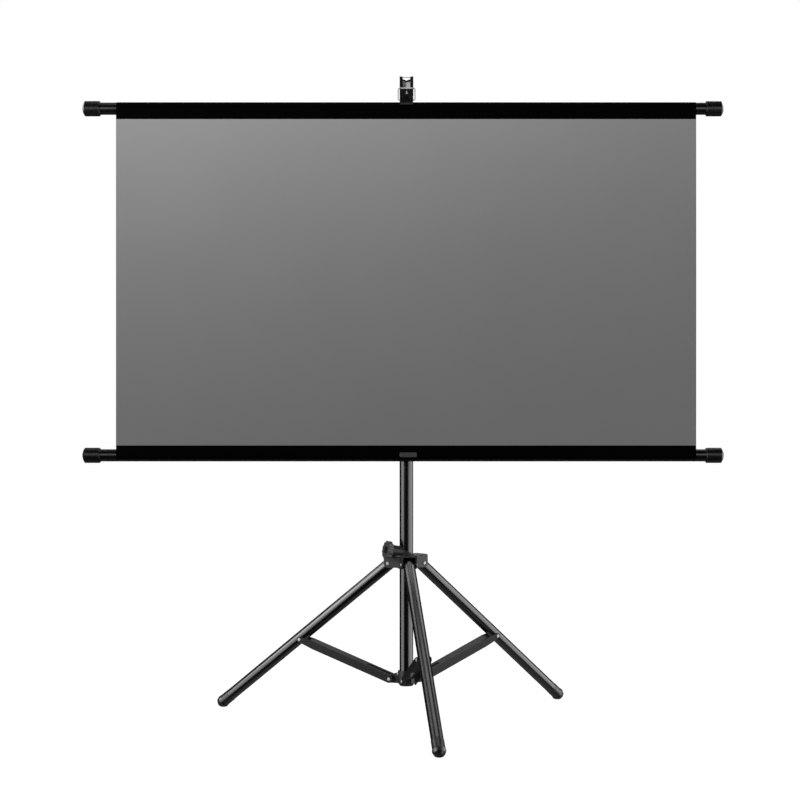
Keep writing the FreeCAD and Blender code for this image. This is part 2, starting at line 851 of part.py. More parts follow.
def make_brace(index):
    name = LEGS[index]
    slope = math.degrees(math.atan2(value(BRACE_UP), value(BRACE_OUT)))
    hinge = at(value("lug_reach"), 0, value("spreader_height"), Y_AXIS, -slope)
    place = at(angle=leg_turn(index)) * hinge
    half = "brace_depth / 2"
    tongue = "brace_tongue / 2"
    inner_width = "(leg_diameter + 2 * brace_gap)"
    outer_width = f"({inner_width} + 2 * brace_sheet)"
    body = new_body(f"brace_{name}_channel")
    cheek = sketch_on(body, "XZ_Plane", "cheek")
    outline(
        cheek,
        [
            ("0", f"-{half}"),
            (f"{BRACE_LENGTH} - brace_taper", f"-{half}"),
            (BRACE_LENGTH, f"-{tongue}", tongue),
            (f"{BRACE_LENGTH} + {tongue}", "0", tongue),
            (BRACE_LENGTH, tongue),
            (f"{BRACE_LENGTH} - web_start", half),
            ("0", half, half),
            (f"-{half}", "0", half),
        ],
    )
    pad(body, cheek, outer_width, both_ways=True)
    inside = sketch_on(body, "XZ_Plane", "inside")
    beyond = f"{BRACE_LENGTH} + brace_depth"
    rectangle(inside, "-brace_depth", beyond, "-brace_depth", f"{half} - brace_sheet")
    pocket(body, inside, inner_width)
    mouth = sketch_on(body, "XZ_Plane", "mouth")
    rectangle(mouth, f"{BRACE_LENGTH} - web_start", beyond, "0", "brace_depth")
    pocket(body, mouth, inner_width)
    slot = sketch_on(body, "XZ_Plane", "slot")
    rectangle(slot, "-brace_depth", "web_slot_length", "0", "brace_depth")
    pocket(body, slot, "web_slot")
    eyes = sketch_on(body, "XZ_Plane", "eyes")
    circle(eyes, "0", "0", "pin_diameter / 2 + snug_gap")
    circle(eyes, BRACE_LENGTH, "0", "pin_diameter / 2 + snug_gap")
    pocket(body, eyes)
    keep(body, f"brace_{name}_channel", place)

    pin = rivet(f"brace_{name}_pin", f"{outer_width} / 2", "pin_diameter / 2")
    pin.Placement = place * at(value(BRACE_LENGTH))
    rivets = [pin]
    for side, angle in (("near", 0), ("far", 180)):
        stud = new_body(f"brace_{name}_stud_{side}")
        profile = sketch_on(stud, "XY_Plane", "profile")
        outline(
            profile,
            [
                ("0", f"{inner_width} / 2"),
                ("pin_diameter / 2", f"{inner_width} / 2"),
                ("pin_diameter / 2", f"{outer_width} / 2"),
                ("pin_head / 2", f"{outer_width} / 2"),
                ("pin_head / 2", f"{outer_width} / 2 + pin_head_height - pin_head_chamfer"),
                ("pin_head / 2 - pin_head_chamfer", f"{outer_width} / 2 + pin_head_height"),
                ("0", f"{outer_width} / 2 + pin_head_height"),
            ],
        )
        revolve(stud, profile)
        stud.Placement = place * at(axis=X_AXIS, angle=angle)
        rivets.append(stud)
    group(f"brace_{name}_rivets", rivets)


# Screen: two capped rods, the cloth between them and the bands that wrap it round the rods

SCREEN_Y = "-screen_standoff"
SHEET_INSIDE = "(rod_diameter / 2 + sheet_gap)"
SHEET_OUTSIDE = f"({SHEET_INSIDE} + cloth_thickness)"
ROD_LENGTH = "(view_width + 2 * rod_bare + 2 * (cap_length - cap_end))"


def make_rod(name, height):
    rod = tube(f"{name}_rod", "rod_diameter", "rod_wall", ROD_LENGTH, "YZ_Plane", both_ways=True)
    place = at(value("rod_offset"), value(SCREEN_Y), value(height))
    keep(rod, f"{name}_rod", place)
    caps = []
    for side, angle in (("left", 180), ("right", 0)):
        cap = new_body(f"{name}_{side}_cap")
        section = sketch_on(cap, "XZ_Plane", "section")
        outline(
            section,
            [
                ("cap_end - cap_length", "rod_diameter / 2 + snug_gap"),
                ("0", "rod_diameter / 2 + snug_gap"),
                ("0", "0"),
                ("cap_end", "0", "((cap_diameter / 2)^2 + cap_dome^2) / (2 * cap_dome)"),
                ("cap_end - cap_dome", "cap_diameter / 2"),
                ("cap_end - cap_length + cap_lead", "cap_diameter / 2"),
                ("cap_end - cap_length", "cap_diameter / 2 - cap_lead"),
            ],
        )
        revolve(cap, section, "H_Axis")
        cap.Placement = place * at(axis=Z_AXIS, angle=angle) * at(value(f"{ROD_LENGTH} / 2"))
        caps.append(cap)
    group(f"{name}_caps", caps)


def make_top_hem():
    body = new_body("top_hem")
    section = sketch_on(body, "YZ_Plane", "section")
    outer, inner = SHEET_OUTSIDE, SHEET_INSIDE
    outline(
        section,
        [
            (f"-{inner}", "-top_reach"),
            (f"-{inner}", "0", inner, "right"),
            ("0", inner, inner, "right"),
            (inner, "0", inner, "right"),
            (f"{inner} * cos(top_wrap)", f"-{inner} * sin(top_wrap)"),
            (f"{outer} * cos(top_wrap)", f"-{outer} * sin(top_wrap)", outer),
            (outer, "0", outer),
            ("0", outer, outer),
            (f"-{outer}", "0"),
            (f"-{outer}", "-top_reach"),
        ],
    )
    pad(body, section, "view_width", both_ways=True)
    across = value("rod_offset + cloth_offset")
    keep(body, "top_hem", at(across, value(SCREEN_Y), value(TOP_ROD_HEIGHT)))


def make_bottom_hem():
    body = new_body("bottom_hem")
    section = sketch_on(body, "YZ_Plane", "section")
    outer, inner = SHEET_OUTSIDE, SHEET_INSIDE
    outline(
        section,
        [
            (f"-{inner}", "bottom_reach"),
            (f"-{outer}", "bottom_reach"),
            (f"-{outer}", "0", outer),
            (f"-{outer} * cos(bottom_wrap)", f"-{outer} * sin(bottom_wrap)"),
            (f"-{inner} * cos(bottom_wrap)", f"-{inner} * sin(bottom_wrap)", inner, "right"),
            (f"-{inner}", "0"),
        ],
    )
    pad(body, section, "view_width", both_ways=True)
    across = value("rod_offset + cloth_offset")
    keep(body, "bottom_hem", at(across, value(SCREEN_Y), value(BOTTOM_ROD_HEIGHT)))


def make_cloth():
    cloth = doc.addObject("Part::Box", "screen_cloth")
    bind(cloth, "Length", "view_width")
    bind(cloth, "Width", "cloth_thickness")
    bind(cloth, "Height", "view_height")
    corner = at(
        value("rod_offset + cloth_offset - view_width / 2"),
        value(f"{SCREEN_Y} - {SHEET_OUTSIDE}"),
        value(f"{BOTTOM_ROD_HEIGHT} + bottom_reach"),
    )
    keep(cloth, "screen_cloth", corner)


# Saddle over the hemmed rod, with the barrel in which the bail turns


def make_saddle():
    inner = f"({SHEET_OUTSIDE} + sheet_gap)"
    outer = f"({inner} + saddle_sheet)"
    body = new_body("saddle")
    strap = sketch_on(body, "YZ_Plane", "strap")
    outline(
        strap,
        [
            (f"{outer} * cos(saddle_wrap)", f"{outer} * sin(saddle_wrap)", outer),
            ("0", outer, outer),
            (f"-{outer} * cos(saddle_wrap)", f"{outer} * sin(saddle_wrap)"),
            (f"-{inner} * cos(saddle_wrap)", f"{inner} * sin(saddle_wrap)", inner, "right"),
            ("0", inner, inner, "right"),
            (f"{inner} * cos(saddle_wrap)", f"{inner} * sin(saddle_wrap)"),
        ],
    )
    pad(body, strap, "saddle_width", both_ways=True)
    neck = sketch_on(body, "YZ_Plane", "neck")
    rectangle(neck, "-saddle_neck / 2", "saddle_neck / 2", f"{inner} + saddle_sheet / 2", "barrel_rise")
    pad(body, neck, "saddle_width", both_ways=True)
    barrel = sketch_on(body, "YZ_Plane", "barrel")
    circle(barrel, "0", "barrel_rise", "barrel_diameter / 2")
    pad(body, barrel, "saddle_width", both_ways=True)
    bore = sketch_on(body, "YZ_Plane", "bore")
    circle(bore, "0", "barrel_rise", "bail_wire / 2 + running_gap")
    pocket(body, bore)
    keep(body, "saddle", at(y=value(SCREEN_Y), z=value(TOP_ROD_HEIGHT)))


# Bail: one bent wire, with its feet in the barrel and its crossbar on the hook's seat


def make_bail():
    body = new_body("bail")
    path = sketch_on(body, "XZ_Plane", "path")
    side = "bail_width / 2 - bail_bend"
    bend = [(f"bail_bend * cos({angle})", f"bail_bend * sin({angle})") for angle in (0, 30, 60, 90)]
    quarter = [(f"{side} + {across}", f"bail_bend - {up}") for across, up in reversed(bend)]
    quarter += [(f"{side} + {across}", f"bail_height - bail_bend + {up}") for across, up in bend]
    mirrored = [(f"-({across})", up) for across, up in reversed(quarter)]
    outline(path, [("bail_foot", "0"), *quarter, *mirrored, ("-bail_foot", "0")], closed=False)
    wire = sketch_on(body, "YZ_Plane", "wire", "bail_foot")
    circle(wire, "0", "0", "bail_wire / 2")
    made = body.newObject("PartDesign::AdditivePipe", "bail_pipe")
    made.Profile = wire
    made.Spine = path
    made.Transition = "Right corner"
    doc.recompute()
    keep(body, "bail", at(y=value(SCREEN_Y), z=value(f"{TOP_ROD_HEIGHT} + barrel_rise")))


make_lower_tube()
make_spreader_bracket()
make_mast_collar()
collar_knob_place = at(z=value(f"{MAST_TOP} + collar_stud_rise"), angle=KNOB_TURN)
make_knob("mast_knob", "collar_boss_reach", "inner_diameter / 2 + slide_gap", collar_knob_place)
make_upper_mast()
make_hanger_head()
make_hub()
hub_knob_place = at(z=value("hub_height + hub_stud_rise"), angle=KNOB_TURN)
hub_knob_place *= at(axis=Y_AXIS, angle=-value("hub_stud_tilt"))
make_knob("hub_knob", "hub_boss_reach", HUB_STUD_START, hub_knob_place)
for leg_index in range(len(LEGS)):
    make_leg(leg_index)
    make_brace(leg_index)
make_rod("top", TOP_ROD_HEIGHT)
make_rod("bottom", BOTTOM_ROD_HEIGHT)
make_top_hem()
make_bottom_hem()
make_cloth()
make_saddle()
make_bail()
doc.recompute()

# Nothing is written unless every object is sound
for thing in doc.Objects:
    if "Invalid" in thing.State or "Error" in thing.State:
        raise RuntimeError(f"{thing.Name} failed: {thing.State}")
for node in nodes:
    if node.Shape.isNull() or not node.Shape.isValid() or not node.Shape.Solids:
        raise RuntimeError(f"{node.Label} has no valid solid")

os.makedirs("parts", exist_ok=True)
for node in nodes:
    node.Shape.exportStep(f"parts/{node.Label}.step")
print(f"{len(nodes)} nodes written")
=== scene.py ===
# %% [markdown]
# # A projection screen on a tripod
# The rigid pieces come from the CAD frame, already in metres and in place. In this lesson they get their finishes,
# and the cloth is rebuilt as real sheet goods: one grey picture sheet and two black bands folded round the rods.

# %% Load the frame
import json
import math
import bmesh
import bpy
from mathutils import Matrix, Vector


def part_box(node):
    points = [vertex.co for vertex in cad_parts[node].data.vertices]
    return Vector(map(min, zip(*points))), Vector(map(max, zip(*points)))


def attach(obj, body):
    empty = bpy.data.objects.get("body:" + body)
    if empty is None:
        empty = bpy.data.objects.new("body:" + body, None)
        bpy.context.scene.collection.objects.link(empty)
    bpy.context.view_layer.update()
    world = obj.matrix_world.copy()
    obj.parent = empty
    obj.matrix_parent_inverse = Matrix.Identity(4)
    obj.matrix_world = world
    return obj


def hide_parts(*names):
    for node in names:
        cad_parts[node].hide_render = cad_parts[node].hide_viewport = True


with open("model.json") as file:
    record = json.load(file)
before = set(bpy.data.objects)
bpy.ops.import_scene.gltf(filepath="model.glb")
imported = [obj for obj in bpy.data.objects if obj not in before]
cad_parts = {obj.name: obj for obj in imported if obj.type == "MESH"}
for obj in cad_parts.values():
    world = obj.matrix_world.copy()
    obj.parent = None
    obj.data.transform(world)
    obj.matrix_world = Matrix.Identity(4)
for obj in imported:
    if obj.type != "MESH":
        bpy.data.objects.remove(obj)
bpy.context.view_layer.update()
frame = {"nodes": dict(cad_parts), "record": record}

# %% [markdown]
# ## Camera
# A product picture like this is taken from far away with a long lens, level and square to the picture side. A level
# camera keeps the mast upright, and its height decides how far the feet spread on the floor, so the height is set by
# the feet and the distance by the size of the screen.

# %% Camera
bpy.ops.object.select_all(action="DESELECT")
camera_place = (-0.0149, -4.43, 0.746)
bpy.ops.object.camera_add(location=camera_place, rotation=(math.radians(90), 0, 0))
camera = bpy.context.object
camera.name = "picture_camera"
camera.data.sensor_width = 36
camera.data.lens = 85.2
bpy.context.scene.camera = camera
print("camera at", camera_place)

# %% [markdown]
# ## Floor and surroundings
# The photograph is cut out on white, so floor and surroundings are both white to the camera. Black paint shows only
# what it mirrors, and here it mirrors a dark room, so the same surroundings are nearly black to glossy rays. The Light
# Path node tells these rays apart, and a bright value for diffuse rays gives an even fill. The floor stays a little
# short of white by itself, and the fill makes up the rest, so the feet still leave a faint shadow. Reflections pass
# through the floor, so that a card can reach below it and a line runs on to the foot of the mast.


# %% Brightness by the kind of ray
def ray_brightness(tree, camera_value, diffuse_value, glossy_value):
    """One brightness for what the camera sees, one for the fill light and one for reflections."""
    path = tree.nodes.new("ShaderNodeLightPath")
    total = None
    for ray, level in (
        ("Is Camera Ray", camera_value),
        ("Is Diffuse Ray", diffuse_value),
        ("Is Glossy Ray", glossy_value),
    ):
        share = tree.nodes.new("ShaderNodeMath")
        share.operation = "MULTIPLY_ADD"
        share.inputs[1].default_value = level
        share.inputs[2].default_value = 0
        tree.links.new(path.outputs[ray], share.inputs[0])
        if total is not None:
            tree.links.new(total, share.inputs[2])
        total = share.outputs["Value"]
    return total


FILL = 0.69
FLOOR_SEEN = 0.925
ROOM_MIRRORED = 0.012
print("fill brightness", FILL)

# %% Floor
bpy.ops.object.select_all(action="DESELECT")
bpy.ops.mesh.primitive_circle_add(vertices=96, radius=30, fill_type="NGON", location=(0, 0, -0.0005))
floor = bpy.context.object
floor.name = "floor"
bpy.ops.object.transform_apply(location=True, rotation=True, scale=True)
floor_finish = bpy.data.materials.new("pale_floor")
floor_finish.use_nodes = True
floor_shader = floor_finish.node_tree.nodes["Principled BSDF"]
floor_shader.inputs["Base Color"].default_value = (0.12, 0.12, 0.12, 1)
floor_shader.inputs["Roughness"].default_value = 0.9
floor_shader.inputs["Emission Color"].default_value = (1, 1, 1, 1)
floor_glow = ray_brightness(floor_finish.node_tree, FLOOR_SEEN, FILL, 0)
floor_finish.node_tree.links.new(floor_glow, floor_shader.inputs["Emission Strength"])
floor.data.materials.append(floor_finish)
floor.visible_glossy = False
floor.visible_shadow = False
print("floor", floor.dimensions.x, "m across")

# %% Surroundings
world = bpy.data.worlds.new("white_studio")
bpy.context.scene.world = world
world.use_nodes = True
around = world.node_tree.nodes["Background"]
around.inputs["Color"].default_value = (1, 1, 1, 1)
room_glow = ray_brightness(world.node_tree, 1, FILL, ROOM_MIRRORED)
world.node_tree.links.new(room_glow, around.inputs["Strength"])
bpy.context.scene.view_settings.view_transform = "Standard"
print("white surroundings set")

# %% [markdown]
# ## Lights
# One soft spot lights the cloth. It points above the screen, and only the edge of its cone falls on the cloth, so the
# grey runs from light in the top left corner to dark at the lower right. It is left out of reflections.
# The tubes get their grey lines from cards that only reflections see. A round tube doubles every angle: a card that
# stands 43 to 94 degrees round from the camera shows between 21 and 47 degrees round the tube. So each line on mast
# and legs is traced back to the place where its card has to stand. A dim card under the floor gives the undersides of
# the legs their dark grey.


# %% Spot for the cloth
bpy.ops.object.light_add(type="SPOT", location=(-1.2, -3.2, 3.0))
cloth_spot = bpy.context.object
cloth_spot.name = "cloth_spot"
spot_aim = Vector((-1.25, -0.0966, 5.02))
cloth_spot.rotation_euler = (spot_aim - cloth_spot.location).to_track_quat("-Z", "Y").to_euler()
cloth_spot.data.energy = 3250
cloth_spot.data.spot_size = math.radians(149)
cloth_spot.data.spot_blend = 1
cloth_spot.data.shadow_soft_size = 0.25
cloth_spot.visible_camera = False
cloth_spot.visible_glossy = False
print("cloth spot at", tuple(round(side, 2) for side in cloth_spot.location))


# %% Cards for the tubes
def card(name, place, aim, width, height, brightness):
    """A card that only reflections see. Its power follows from its brightness and area."""
    bpy.ops.object.light_add(type="AREA", location=place)
    lamp = bpy.context.object
    lamp.name = name
    lamp.data.shape = "RECTANGLE"
    lamp.data.size = width
    lamp.data.size_y = height
    lamp.data.energy = brightness * math.pi * width * height
    lamp.rotation_euler = (Vector(aim) - Vector(place)).to_track_quat("-Z", "Y").to_euler()
    lamp.visible_camera = False
    lamp.visible_diffuse = False
    return lamp


card("left_low_card", (-2.0, -0.78, 0.05), (0, 0, 0.05), width=2.0, height=1.2, brightness=4.2)
card("left_high_card", (-2.0, -0.78, 1.2), (0, 0, 1.2), width=2.0, height=1.1, brightness=11)
card("right_card", (1.87, -0.39, 0.45), (0, 0, 0.45), width=3.2, height=2.0, brightness=4.5)
card("top_card", (-0.05, 0.0, 2.6), (-0.05, 0.0, 0), width=1.6, height=1.1, brightness=3.2)
card("left_wing_card", (-1.6, 0.65, 1.95), (0, -0.25, 0.2), width=1.1, height=1.4, brightness=3.2)
card("right_wing_card", (1.4, 0.9, 2.0), (0, -0.25, 0.2), width=1.1, height=1.3, brightness=3)
card("left_cap_card", (-1.12, -2.5, 1.45), (-0.72, -0.08, 1.45), width=0.4, height=1.4, brightness=8)
card("right_cap_card", (1.12, -2.5, 1.45), (0.72, -0.08, 1.45), width=0.4, height=1.4, brightness=8)
card("rear_card", (0, 2.4, 1.9), (0, 0, 0.9), width=1.2, height=1.4, brightness=2)
card("low_card", (0, 0.25, -0.9), (0, 0.25, 0), width=3.2, height=1.5, brightness=0.4)
print("cards stand round the tubes")

# %% [markdown]
# ## Finishes
# Each finish is a Principled shader with a little noise on Object coordinates. Noise in the roughness breaks up the
# highlights as real paint and plastic do, and a fine bump gives orange peel, moulded grain or weave. The pattern's
# size is given in metres, because the Object coordinates of these pieces are the row's own metres.


# %% A start for every finish
def new_finish(name, colour, roughness, metallic=0.0):
    """A Principled finish in one colour."""
    finish = bpy.data.materials.new(name)
    finish.use_nodes = True
    shader = finish.node_tree.nodes["Principled BSDF"]
    shader.inputs["Base Color"].default_value = (*colour, 1)
    shader.inputs["Roughness"].default_value = roughness
    shader.inputs["Metallic"].default_value = metallic
    return finish


def shader_of(finish):
    return finish.node_tree.nodes["Principled BSDF"]


def grey(level):
    return (level, level, level)


print("a finish starts as one plain colour")


# %% Noise for roughness, colour and grain
NOISE_LOW = 0.3
NOISE_HIGH = 0.7


def noise_of(finish, grain_size, stretch=(1, 1, 1), detail=3):
    """Noise on Object coordinates, whose blotches are about grain_size metres wide."""
    tree = finish.node_tree
    place = tree.nodes.new("ShaderNodeTexCoord")
    mapping = tree.nodes.new("ShaderNodeMapping")
    mapping.inputs["Scale"].default_value = stretch
    noise = tree.nodes.new("ShaderNodeTexNoise")
    noise.inputs["Scale"].default_value = 1 / grain_size
    noise.inputs["Detail"].default_value = detail
    tree.links.new(place.outputs["Object"], mapping.inputs["Vector"])
    tree.links.new(mapping.outputs["Vector"], noise.inputs["Vector"])
    return noise.outputs["Fac"]


def vary_roughness(finish, source, low, high):
    """Dull and shiny patches. Nearly all of the noise lies between NOISE_LOW and NOISE_HIGH."""
    tree = finish.node_tree
    spread = tree.nodes.new("ShaderNodeMapRange")
    spread.inputs["From Min"].default_value = NOISE_LOW
    spread.inputs["From Max"].default_value = NOISE_HIGH
    spread.inputs["To Min"].default_value = low
    spread.inputs["To Max"].default_value = high
    tree.links.new(source, spread.inputs["Value"])
    tree.links.new(spread.outputs["Result"], shader_of(finish).inputs["Roughness"])


def vary_colour(finish, source, dark, light):
    """Darker and lighter patches."""
    tree = finish.node_tree
    ramp = tree.nodes.new("ShaderNodeValToRGB")
    ramp.color_ramp.elements[0].position = NOISE_LOW
    ramp.color_ramp.elements[0].color = (*dark, 1)
    ramp.color_ramp.elements[1].position = NOISE_HIGH
    ramp.color_ramp.elements[1].color = (*light, 1)
    tree.links.new(source, ramp.inputs["Fac"])
    tree.links.new(ramp.outputs["Color"], shader_of(finish).inputs["Base Color"])


def raise_grain(finish, source, height, strength=1.0):
    """A bump as high as height, in metres."""
    tree = finish.node_tree
    bump = tree.nodes.new("ShaderNodeBump")
    bump.inputs["Distance"].default_value = height
    bump.inputs["Strength"].default_value = strength
    tree.links.new(source, bump.inputs["Height"])
    tree.links.new(bump.outputs["Normal"], shader_of(finish).inputs["Normal"])


print("noise helpers ready")


# %% Soft edges with wear
FLAT = 0.99
ON_EDGE = 0.88
WEAR_START = 0.15
WEAR_FULL = 0.7
WEAR_PATCH = 0.012


def soften_edges(finish, radius):
    """Round the light over sharp edges. The result is 0 on flats and rises to 1 along an edge."""
    tree = finish.node_tree
    bevel = tree.nodes.new("ShaderNodeBevel")
    bevel.samples = 4
    bevel.inputs["Radius"].default_value = radius
    surface = tree.nodes.new("ShaderNodeNewGeometry")
    alike = tree.nodes.new("ShaderNodeVectorMath")
    alike.operation = "DOT_PRODUCT"
    tree.links.new(bevel.outputs["Normal"], alike.inputs[0])
    tree.links.new(surface.outputs["Normal"], alike.inputs[1])
    edge = tree.nodes.new("ShaderNodeMapRange")
    edge.inputs["From Min"].default_value = FLAT
    edge.inputs["From Max"].default_value = ON_EDGE
    tree.links.new(alike.outputs["Value"], edge.inputs["Value"])
    for link in tree.links:
        if link.to_socket == shader_of(finish).inputs["Normal"]:
            tree.links.new(bevel.outputs["Normal"], link.from_node.inputs["Normal"])
    return edge.outputs["Result"]


def wear_edges(finish, radius, worn, share):
    """Let the edges go towards the worn colour where a coarse noise allows it."""
    tree = finish.node_tree
    edge = soften_edges(finish, radius)
    patches = noise_of(finish, WEAR_PATCH)
    amount = tree.nodes.new("ShaderNodeMath")
    amount.operation = "MULTIPLY"
    tree.links.new(edge, amount.inputs[0])
    tree.links.new(patches, amount.inputs[1])
    limit = tree.nodes.new("ShaderNodeMapRange")
    limit.inputs["From Min"].default_value = WEAR_START
    limit.inputs["From Max"].default_value = WEAR_FULL
    limit.inputs["To Max"].default_value = share
    tree.links.new(amount.outputs["Value"], limit.inputs["Value"])
    base = shader_of(finish).inputs["Base Color"]
    mix = tree.nodes.new("ShaderNodeMix")
    mix.data_type = "RGBA"
    # A Mix node has its colours at inputs 6 and 7, and their mix at output 2.
    mix.inputs[7].default_value = (*worn, 1)
    tree.links.new(limit.outputs["Result"], mix.inputs[0])
    tree.links.new(base.links[0].from_socket, mix.inputs[6])
    tree.links.new(mix.outputs[2], base)


print("edge helpers ready")


# %% Paint on tubes, rods and sheet metal
def paint(name, level, roughness, shine, peel_size, peel_height, rubbed=(1, 1, 1)):
    """Black paint with orange peel. Rubbed draws the dull and shiny patches out along a direction."""
    finish = new_finish(name, grey(level), roughness)
    shader_of(finish).inputs["Specular IOR Level"].default_value = shine
    vary_roughness(finish, noise_of(finish, 0.02, rubbed), roughness * 0.92, roughness * 1.1)
    raise_grain(finish, noise_of(finish, peel_size), peel_height)
    vary_colour(finish, noise_of(finish, 0.006), grey(level * 0.8), grey(level * 1.25))
    return finish


# Lightness, roughness, shine, and the size and height of the orange peel
mast_paint = paint("mast_black", 0.0012, 0.2, 0.48, 0.0025, 0.000004, rubbed=(4, 4, 0.15))
leg_paint = paint("leg_black", 0.0012, 0.24, 0.52, 0.004, 0.000002)
rod_paint = paint("rod_black", 0.002, 0.22, 0.16, 0.003, 0.000004)
brace_paint = paint("brace_black", 0.017, 0.42, 0.07, 0.0018, 0.00003)
head_paint = paint("head_black", 0.002, 0.36, 0.12, 0.0018, 0.00002)
saddle_paint = paint("saddle_black", 0.002, 0.4, 0.1, 0.0018, 0.00002)
for sheet_paint in (brace_paint, head_paint, saddle_paint):
    wear_edges(sheet_paint, 0.0007, grey(0.035), 0.4)
print("paints ready")


# %% Moulded plastic and rubber
def moulded(name, level, roughness, shine, grain_size, grain_height):
    """Black plastic or rubber with a moulded grain and lighter edges."""
    finish = new_finish(name, grey(level), roughness)
    shader_of(finish).inputs["Specular IOR Level"].default_value = shine
    vary_roughness(finish, noise_of(finish, 0.004), roughness * 0.9, roughness * 1.15)
    raise_grain(finish, noise_of(finish, grain_size, detail=5), grain_height)
    vary_colour(finish, noise_of(finish, 0.009), grey(level * 0.85), grey(level * 1.2))
    wear_edges(finish, 0.0008, grey(level * 2.5 + 0.01), 0.5)
    return finish


# Lightness, roughness, shine, and the size and height of the grain
moulded_plastic = moulded("moulded_black", 0.014, 0.45, 0.22, 0.0009, 0.00003)
knob_plastic = moulded("knob_black", 0.05, 0.4, 0.4, 0.0008, 0.00003)
cap_plastic = moulded("cap_black", 0.002, 0.28, 0.14, 0.0008, 0.000003)
foot_rubber = moulded("foot_rubber", 0.002, 0.34, 0.4, 0.0008, 0.000004)
print("plastic and rubber ready")


# %% Zinc-plated steel
def zinc_plated(name, light, metallic, roughness):
    """Zinc is dull: metallic is the small share of its light that is mirrored, and the rest is scattered."""
    finish = new_finish(name, grey(light), roughness, metallic)
    vary_roughness(finish, noise_of(finish, 0.003), roughness * 0.8, roughness * 1.3)
    vary_colour(finish, noise_of(finish, 0.0015), grey(light * 0.85), grey(light * 1.1))
    raise_grain(finish, noise_of(finish, 0.0007), 0.00002)
    return finish


zinc = zinc_plated("zinc_steel", 0.34, 0.25, 0.4)
keeper_zinc = zinc_plated("keeper_zinc", 0.34, 0.2, 0.45)
print("zinc ready")

# %% Give each rigid piece its finish
finishes = {
    "mast_black": mast_paint,
    "leg_black": leg_paint,
    "rod_black": rod_paint,
    "brace_black": brace_paint,
    "head_black": head_paint,
    "saddle_black": saddle_paint,
    "moulded_black": moulded_plastic,
    "knob_black": knob_plastic,
    "cap_black": cap_plastic,
    "foot_rubber": foot_rubber,
    "zinc_steel": zinc,
    "keeper_zinc": keeper_zinc,
}
dressed = 0
for subpart in frame["record"]["subparts"]:
    chosen_finish = finishes.get(subpart["material_slot"])
    if chosen_finish is None:
        continue
    node = frame["nodes"][subpart["node"]]
    node.data.materials.clear()
    node.data.materials.append(chosen_finish)
    dressed += 1
print(dressed, "rigid pieces dressed")

# %% [markdown]
# ## Picture cloth
# The grey cloth is one woven sheet, coated on the picture side and dark behind. It hangs taut from the weight of the
# lower rod, so it could be a flat plane, but real cloth still has long shallow waves between the rods that catch the
# light. A grid with waves that die out at the bands is enough, and Solidify gives it its thickness.

# %% Weave for the sheet goods
THREAD = 0.0009
WAVE_RADIANS = 20


def weave_of(finish):
    """Two sets of threads across each other, as a height. At scale 1 a wave has WAVE_RADIANS to the metre."""
    tree = finish.node_tree
    place = tree.nodes.new("ShaderNodeTexCoord")
    threads = []
    for direction in ("X", "Z"):
        wave = tree.nodes.new("ShaderNodeTexWave")
        wave.wave_type = "BANDS"
        wave.bands_direction = direction
        wave.inputs["Scale"].default_value = 2 * math.pi / (THREAD * WAVE_RADIANS)
        wave.inputs["Distortion"].default_value = 0.6
        wave.inputs["Detail"].default_value = 1
        tree.links.new(place.outputs["Object"], wave.inputs["Vector"])
        threads.append(wave.outputs["Fac"])
    cross = tree.nodes.new("ShaderNodeMath")
    cross.operation = "MAXIMUM"
    tree.links.new(threads[0], cross.inputs[0])
    tree.links.new(threads[1], cross.inputs[1])
    return cross.outputs["Value"]


screen_face = new_finish("screen_grey", grey(0.147), 0.92)
vary_colour(screen_face, noise_of(screen_face, 0.25), grey(0.1445), grey(0.1495))
raise_grain(screen_face, weave_of(screen_face), 0.00003, 0.6)
shader_of(screen_face).inputs["Specular IOR Level"].default_value = 0.2
screen_back = new_finish("screen_back", grey(0.02), 0.8)
vary_colour(screen_back, noise_of(screen_back, 0.12), grey(0.0185), grey(0.0212))
raise_grain(screen_back, weave_of(screen_back), 0.00005)
print("cloth finishes ready")

# %% Picture cloth
cloth_low, cloth_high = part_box("screen_cloth")
cloth_middle = (cloth_low + cloth_high) / 2
cloth_width = cloth_high.x - cloth_low.x
cloth_height = cloth_high.z - cloth_low.z
cloth_thickness = cloth_high.y - cloth_low.y
bpy.ops.object.select_all(action="DESELECT")
bpy.ops.mesh.primitive_grid_add(
    x_subdivisions=120,
    y_subdivisions=64,
    size=1,
    location=cloth_middle,
    rotation=(math.radians(90), 0, 0),
)
cloth = bpy.context.object
cloth.name = "picture_cloth"
cloth.scale = (cloth_width, cloth_height, 1)
bpy.ops.object.transform_apply(location=True, rotation=True, scale=True)
WAVE = 0.0011
SHORT_SHARE = 0.6
for point in cloth.data.vertices:
    across = (point.co.x - cloth_low.x) / cloth_width
    up = (point.co.z - cloth_low.z) / cloth_height
    fade = max(math.sin(math.pi * up), 0)
    long_wave = math.sin(5.3 * math.pi * across + 1.1 * up)
    short_wave = math.sin(11.7 * math.pi * across - 2.3 * up + 0.7)
    point.co.y += WAVE * fade * (long_wave + SHORT_SHARE * short_wave)
wall = cloth.modifiers.new("thickness", "SOLIDIFY")
wall.thickness = cloth_thickness
wall.offset = 0
bpy.ops.object.modifier_apply(modifier=wall.name)
bpy.ops.object.shade_smooth_by_angle(angle=math.radians(30))
cloth.data.materials.append(screen_face)
cloth.data.materials.append(screen_back)
for face in cloth.data.polygons:
    face.material_index = 1 if face.normal.y > 0.5 else 0
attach(cloth, "screen")
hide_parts("screen_cloth")
print("picture cloth", round(cloth_width, 3), "by", round(cloth_height, 3), "m")

# %% [markdown]
# ## Black bands
# Above and below, the cloth ends in a black band that is folded round its rod. Each band starts as an open cylinder
# round the rod: the faces that the fold doesn't reach are deleted, the front edge is extruded to the picture cloth,
# and Solidify gives the sheet's thickness. Where the band joins the cloth, a heated bar has pressed a weld line into
# it: two bisects mark a strip of the band, and an inset with a depth presses it in.

